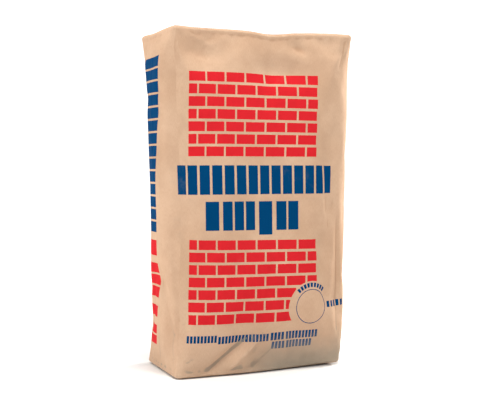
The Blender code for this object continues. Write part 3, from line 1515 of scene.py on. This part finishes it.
    def store_fold_sharpness(self, piece: bpy.types.Object) -> None:
        """Stores how sharp the paper is at each point: 0.5 flat, 1 on a ridge, 0 in a crease.

        It is the height of a point over its neighbours' mean, set against their distance.

        Args:
            piece: The sack.
        """
        mesh = piece.data
        points, normals = points_of(mesh), normals_of(mesh)
        ends = np.empty(len(mesh.edges) * 2, np.int32)
        mesh.edges.foreach_get("vertices", ends)
        first, second = ends.reshape(-1, 2).T
        step = points[second] - points[first]
        length = np.linalg.norm(step, axis=1)
        total, count = np.zeros(len(points)), np.zeros(len(points))
        for one, way in ((first, 1.0), (second, -1.0)):
            np.add.at(total, one, -way * (step * normals[one]).sum(1) / length)
            np.add.at(count, one, 1.0)
        set_values(mesh, FOLD_SHARPNESS, np.clip(0.5 + self.sharpness * total / count, 0, 1))


# The folded ends, the valve and the load


@dataclass(frozen=True)
class Layer:
    """A four-sided sheet of paper on one end, its corners counter-clockwise from above."""

    name: str
    corners: tuple[tuple[float, float], ...]
    thickness: float
    soft: float = 0.004

    def inside(self, x: Array, y: Array) -> Array:
        """How far each place lies inside the nearest edge.

        Args:
            x: Where, across.
            y: Where, over.

        Returns:
            Metres, and below 0 outside the sheet.
        """
        corners = np.array(self.corners)
        along = np.roll(corners, -1, 0) - corners
        along /= np.linalg.norm(along, axis=1, keepdims=True)
        sides = [
            run * (y - corner[1]) - rise * (x - corner[0])
            for corner, (run, rise) in zip(corners, along)
        ]
        return np.min(sides, axis=0)

    def cover(self, x: Array, y: Array) -> Array:
        """1 on the sheet, and a smooth fall to 0 beside it, where what lies on it slopes down."""
        return smooth_step(1 + self.inside(x, y) / self.soft)

    def grid(self, across: int, over: int) -> Array:
        """Places on the sheet, row by row from its first side to the one opposite it.

        Each lies the same share of the way along two opposite sides. The outermost cells are
        narrow, so that the sheet's edge stays crisp.

        Args:
            across: How many points along the first side.
            over: How many rows.

        Returns:
            x and y of each place.
        """
        corners = np.array(self.corners)
        along, up = self.shares(across)[None, :, None], self.shares(over)[:, None, None]
        low = corners[0] + (corners[1] - corners[0]) * along
        high = corners[3] + (corners[2] - corners[3]) * along
        return low + (high - low) * up

    @staticmethod
    def shares(count: int) -> Array:
        """Shares from 0 to 1, evenly spaced but for a narrow step at each end."""
        return np.concatenate([[0.0], np.linspace(0.004, 0.996, count - 2), [1.0]])


@dataclass(frozen=True)
class FoldedEnd:
    """One end's long flaps, folded over each other, and the sheet glued over them."""

    end: End
    form: SackForm
    half_width: float
    half_depth: float
    patch_margin: float = 0.011
    flap: float = 0.0006
    lap: float = 0.013
    patch: float = 0.0005
    curl: float = 0.0004
    curl_reach: float = 0.006
    curl_waves: tuple[float, float] = (70.0, 90.0)
    fold_reach: float = 0.006
    sunk: float = 0.0002
    cells: tuple[int, int] = (84, 30)
    under: tuple[Layer, ...] = ()

    @property
    def patch_size(self) -> tuple[float, float]:
        """The closing sheet's width and depth."""
        return tuple(2 * (half - self.patch_margin) for half in (self.half_width, self.half_depth))

    @property
    def layers(self) -> tuple[Layer, ...]:
        """The end's sheets.

        A flap's ends run at 45 degrees from its fold to its tip, and the two lap in the middle.

        Returns:
            The sheets from the lowest to the highest.
        """
        wide, deep, lap = self.half_width, self.half_depth, self.lap
        tip = wide - deep - lap
        front = ((-wide, -deep), (wide, -deep), (tip, lap), (-tip, lap))
        back = ((wide, deep), (-wide, deep), (-tip, -lap), (tip, -lap))
        x, y = (size / 2 for size in self.patch_size)
        square = ((-x, -y), (x, -y), (x, y), (-x, y))
        prefix = self.end.name.lower()
        folded = (
            Layer(prefix + "_back_flap", back, self.flap),
            Layer(prefix + "_front_flap", front, self.flap),
            Layer(prefix + "_closing_sheet", square, self.patch),
        )
        return (*self.under, *folded) if self.end is End.TOP else folded[::-1]

    def paper_at(self, x: Array, y: Array) -> Array:
        """Height of the sack's own end at each place."""
        return self.form.top_at(x, y) if self.end is End.TOP else self.form.floor + 0 * x

    def lower_at(self, index: int, x: Array, y: Array) -> Array:
        """Height of what the sheet of that number lies on.

        It is the sum of the sheets below, each as thick as it covers a place, on the sack's
        paper or, at the bottom, on the floor.

        Args:
            index: The sheet's number, from the lowest.
            x: Where, across.
            y: Where, over.

        Returns:
            The height at each place.
        """
        start = self.paper_at(x, y) if self.end is End.TOP else 0 * x
        return start + sum(
            layer.thickness * layer.cover(x, y) for layer in self.layers[:index]
        )

    def build_sheet(self, index: int) -> bpy.types.Object:
        """Makes one sheet as a thin closed solid that lies on those below it.

        A flap's first side is the fold by which it hangs on the wall. There it runs into the
        sack's own paper. A glued sheet's edges lift a little, unevenly.

        Args:
            index: The sheet's number, from the lowest.

        Returns:
            The sheet.
        """
        layer = self.layers[index]
        place = layer.grid(*self.cells)
        x, y = place[..., 0], place[..., 1]
        low = self.lower_at(index, x, y)
        if layer.name.endswith("flap"):
            from_fold = np.abs(y - layer.corners[0][1])
            hidden = self.paper_at(x, y) - self.sunk - layer.thickness
            if self.end is End.BOTTOM:
                hidden = self.paper_at(x, y) + self.sunk
            low = hidden + (low - hidden) * smooth_step(from_fold / self.fold_reach)
        elif self.end is End.TOP:
            lift = smooth_step(1 - layer.inside(x, y) / self.curl_reach)
            across, over = self.curl_waves
            low = low + self.curl * lift * (0.5 + 0.5 * np.sin(across * x + over * y))
        points = np.stack([x, y, low], -1)
        above = points + np.array([0.0, 0.0, layer.thickness])
        arrays = MeshArrays()
        under = arrays.add_points(self.form.bent(points))
        over = arrays.add_points(self.form.bent(above))
        flat = place + np.array([0.0, 2 * END_MAP_OFFSET * self.end.value])
        arrays.add_faces(over, flat)
        arrays.add_faces(under[:, ::-1], flat[:, ::-1])
        edge = self.rim(under), self.rim(over)
        places = self.rim(flat)
        arrays.add_faces(np.stack(edge), np.stack([places, places]))
        return arrays.piece(layer.name)

    @staticmethod
    def rim(grid: Array) -> Array:
        """The outermost points of a grid in order, counter-clockwise, the first one repeated."""
        sides = (grid[0, :-1], grid[:-1, -1], grid[-1, :0:-1], grid[::-1, 0])
        return np.concatenate(sides)


@dataclass(frozen=True)
class ValveSleeve:
    """The flat paper tube under the top flaps that the sack is filled through."""

    form: SackForm
    mouth: float = 0.1815
    length: float = 0.116
    width: float = 0.112
    half_height: float = 0.0007
    lips: float = 0.0016
    lips_length: float = 0.020
    lips_swell: float = 0.35
    wall: float = 0.0003
    inside_length: float = 0.025
    clearance: float = 0.0001
    soft: float = 0.012
    # A section's sides and its faces are this blunt, and a shut end is this thin.
    blunt_sides: float = 0.6
    blunt_faces: float = 0.5
    shut: float = 0.00005
    shut_inside: float = 0.00002
    rings_outside: int = 30
    rings_inside: int = 8
    around: int = 64

    @property
    def layer(self) -> Layer:
        """The sleeve as a sheet that the top flaps lie on.

        Returns:
            The sheet.
        """
        start, half = self.mouth - self.length, self.width / 2
        corners = ((start, -half), (self.mouth, -half), (self.mouth, half), (start, half))
        return Layer("valve_sleeve", corners, 2 * self.half_height, self.soft)

    def build(self) -> bpy.types.Object:
        """Makes the tube: out along its outside to the mouth, back along its inside, and shut.

        A cross-section is a flattened ring, y a cosine and z a sine raised at the lips' middle.

        Returns:
            The sleeve.
        """
        start = self.mouth - self.length
        outside = np.linspace(start, self.mouth, self.rings_outside)
        inside = np.linspace(self.mouth, self.mouth - self.inside_length, self.rings_inside)
        along = np.concatenate([outside, inside])
        opened = smooth_step((along - self.mouth) / self.lips_length + 1)
        half = self.half_height + (self.lips - self.half_height) * opened
        half[0] = self.shut
        half[len(outside) :] = np.maximum(half[len(outside) :] - self.wall, self.shut)
        half[-1] = self.shut_inside
        broad = np.full(len(along), self.width / 2)
        broad[len(outside) :] -= self.wall
        angle = np.linspace(0, 2 * np.pi, self.around + 1)
        cosine, sine = np.cos(angle), np.sin(angle)
        y = broad[:, None] * np.sign(cosine) * np.abs(cosine) ** self.blunt_sides
        swell = 1 + self.lips_swell * np.cos(np.pi * y / self.width) * opened[:, None]
        lift = half[:, None] * np.sign(sine) * np.abs(sine) ** self.blunt_faces * swell
        x = np.repeat(along[:, None], self.around + 1, 1)
        base = self.form.top_at(x, y) + self.half_height + self.clearance
        points = np.stack([x, y, base + lift], -1)
        arrays = MeshArrays()
        number = arrays.add_points(self.form.bent(points[:, :-1]))
        around = np.concatenate([number, number[:, :1]], 1)
        places = np.stack([x, self.width * angle[None, :] / np.pi + 0 * x], -1)
        arrays.add_faces(around[:, ::-1], places[:, ::-1])
        piece = arrays.piece("valve_sleeve_tube")
        piece.data.materials.append(SleevePaper().material("sleeve_paper_finish"))
        return piece


# The studio


@dataclass(frozen=True)
class Viewpoint:
    """The photograph's camera, fitted to the sack's outline."""

    yaw: float = 22.5
    distance: float = 1.842
    height: float = 0.3775
    sideways: float = 0.0064
    focal_pixels: float = 960.0
    horizon_above_middle: float = 32.0
    image_width: float = 500.0
    sensor: float = 36.0

    def build(self) -> bpy.types.Object:
        """Makes the camera and sets it as the scene's.

        Returns:
            The camera.
        """
        yaw = np.radians(self.yaw)
        ahead = Vector((np.sin(yaw), np.cos(yaw), 0.0))
        right = Vector((np.cos(yaw), -np.sin(yaw), 0.0))
        pitch = np.arctan(self.horizon_above_middle / self.focal_pixels)
        look = ahead * np.cos(pitch) - Vector((0.0, 0.0, np.sin(pitch)))
        lens = bpy.data.cameras.new("camera")
        lens.sensor_width = self.sensor
        lens.lens = self.focal_pixels / self.image_width * self.sensor
        camera = bpy.data.objects.new("camera", lens)
        camera.location = right * self.sideways - ahead * self.distance
        camera.location.x += SackForm.offset
        camera.location.z = self.height
        camera.rotation_euler = look.to_track_quat("-Z", "Y").to_euler()
        bpy.context.scene.collection.objects.link(camera)
        bpy.context.scene.camera = camera
        return camera


@dataclass(frozen=True)
class Softbox:
    """A square lamp that looks at the sack."""

    name: str
    place: tuple[float, float, float]
    size: float
    watts: float
    colour: tuple[float, float, float] = (1.0, 0.95, 0.89)

    def build(self) -> None:
        """Makes the lamp."""
        lamp = bpy.data.lights.new(self.name, "AREA")
        lamp.size = self.size
        lamp.energy = self.watts
        lamp.color = self.colour
        made = bpy.data.objects.new(self.name, lamp)
        made.location = self.place
        aim = Vector(LAMP_AIM) - Vector(self.place)
        made.rotation_euler = aim.to_track_quat("-Z", "Y").to_euler()
        bpy.context.scene.collection.objects.link(made)


@dataclass(frozen=True)
class Studio:
    """A pale floor that curves up into a wall behind, under soft lamps. Metres."""

    reach: float = 60.0
    wall_place: float = 4.5
    wall_height: float = 5.0
    curve: float = 1.5
    floor_rows: int = 17
    curve_rows: int = 13
    columns: int = 25
    sky: float = 0.35
    sky_colour: Colour = (0.80, 0.92, 1.0, 1.0)
    lamps: tuple[Softbox, ...] = (
        Softbox("left_softbox", (-2.0, 1.9, 0.8), 0.8, 24.0),
        Softbox("low_softbox", (-2.2, -0.6, 0.3), 0.8, 11.0),
        Softbox("right_softbox", (2.3, 0.85, 0.8), 0.6, 86.0),
        Softbox("front_softbox", (-1.15, -2.3, 2.7), 0.7, 24.0),
        Softbox("top_softbox", (0.0, -0.6, 3.0), 0.8, 84.0),
    )

    def build(self) -> None:
        """Makes the floor with its wall, the lamps and the sky."""
        arc = np.linspace(0, np.pi / 2, self.curve_rows)
        foot = self.wall_place - self.curve
        floor = np.linspace(-self.reach, foot, self.floor_rows)
        depth = np.concatenate([floor, foot + self.curve * np.sin(arc), [self.wall_place]])
        height = np.concatenate([0 * floor, self.curve * (1 - np.cos(arc)), [self.wall_height]])
        x, y = np.meshgrid(np.linspace(-self.reach, self.reach, self.columns), depth)
        z = np.repeat(height[:, None], self.columns, 1)
        arrays = MeshArrays()
        number = arrays.add_points(np.stack([x, y, z], -1))
        arrays.add_faces(number, np.stack([x, y], -1))
        backdrop = arrays.piece("backdrop")
        backdrop.data.materials.append(StudioPaper().material("studio_paper"))
        for lamp in self.lamps:
            lamp.build()
        world = bpy.data.worlds.new("studio")
        bpy.context.scene.world = world
        world.use_nodes = True
        background = world.node_tree.nodes["Background"]
        background.inputs["Color"].default_value = self.sky_colour
        background.inputs["Strength"].default_value = self.sky
        bpy.context.scene.view_settings.view_transform = "Standard"


@dataclass
class CementSack:
    """The whole object: the sack, its load, its valve and its two folded ends."""

    form: SackForm = field(default_factory=SackForm)
    load_inset: float = 0.0018
    bottom_flap: float = 0.0005

    def build(self) -> None:
        """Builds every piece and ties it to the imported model."""
        sack = PaperSack(self.form)
        paper = sack.build()
        self.build_cement(sack, paper)
        sack.finish_paper(paper)
        self.tie(paper, "kraft_paper", "paper_sack")
        sleeve = ValveSleeve(self.form)
        tube = sleeve.build()
        self.tie(tube, "sleeve_paper", "valve_sleeve")
        2 * sleeve.width
        for end in self.ends(sleeve.layer):
            self.build_end(end)

    def ends(self, sleeve: Layer) -> tuple[FoldedEnd, FoldedEnd]:
        """The two folded ends, sized by the form's outline there.

        Args:
            sleeve: The valve sleeve as a sheet, which lies under the top flaps.

        Returns:
            The bottom end and the top end.
        """
        form = self.form
        low, high = (
            (form.widths[index] / 2 - form.edge, form.depths[index] / 2 - form.edge)
            for index in (0, -1)
        )
        bottom = FoldedEnd(End.BOTTOM, form, *low, flap=self.bottom_flap)
        top = FoldedEnd(End.TOP, form, *high, under=(sleeve,))
        return bottom, top

    def build_end(self, folded: FoldedEnd) -> None:
        """Builds one end's sheets.

        Args:
            folded: The end.
        """
        name = folded.end.name.lower()
        kraft = KraftPaper()
        for index, layer in enumerate(folded.layers):
            if layer in folded.under:
                continue
            sheet = folded.build_sheet(index)
            long_side = folded.half_width * 2
            if layer.name.endswith("flap"):
                sheet.data.materials.append(kraft.material("flap_kraft"))
                self.tie(sheet, "kraft_paper")
                reach = folded.half_depth + folded.lap
                area = (long_side - reach) * reach
            else:
                sheet.data.materials.append(kraft.material("closing_kraft"))
                self.tie(sheet, "patch_paper", name + "_closing_patch")
                folded.patch_size

    def build_cement(self, sack: PaperSack, paper: bpy.types.Object) -> None:
        """Builds the load: the settled sack's own shape, just inside its paper.

        Args:
            sack: The sack's maker, whose folds press into the load too.
            paper: The settled sack, before its paper is smoothed.
        """
        load = bpy.data.objects.new("packed_cement", paper.data.copy())
        bpy.context.scene.collection.objects.link(load)
        sack.work(load, self.load_inset)
        load.data.materials.append(CementPowder().material("cement_powder_finish"))
        self.tie(load, "cement_powder", "cement_fill")

    @staticmethod
    def tie(piece: bpy.types.Object, slot: str, *nodes: str) -> None:
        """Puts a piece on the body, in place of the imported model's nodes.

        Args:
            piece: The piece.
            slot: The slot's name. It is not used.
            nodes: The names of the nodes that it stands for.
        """
        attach(piece, BODY)
        if nodes:
            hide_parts(*nodes)
        LOG.info("%s has %d faces", piece.name, len(piece.data.polygons))


def main() -> None:
    """Builds the camera, the studio and every piece of the sack."""
    logging.basicConfig(level=logging.INFO, format="%(name)s: %(message)s")
    Viewpoint().build()
    Studio().build()
    CementSack().build()


if __name__ == "__main__":
    main()
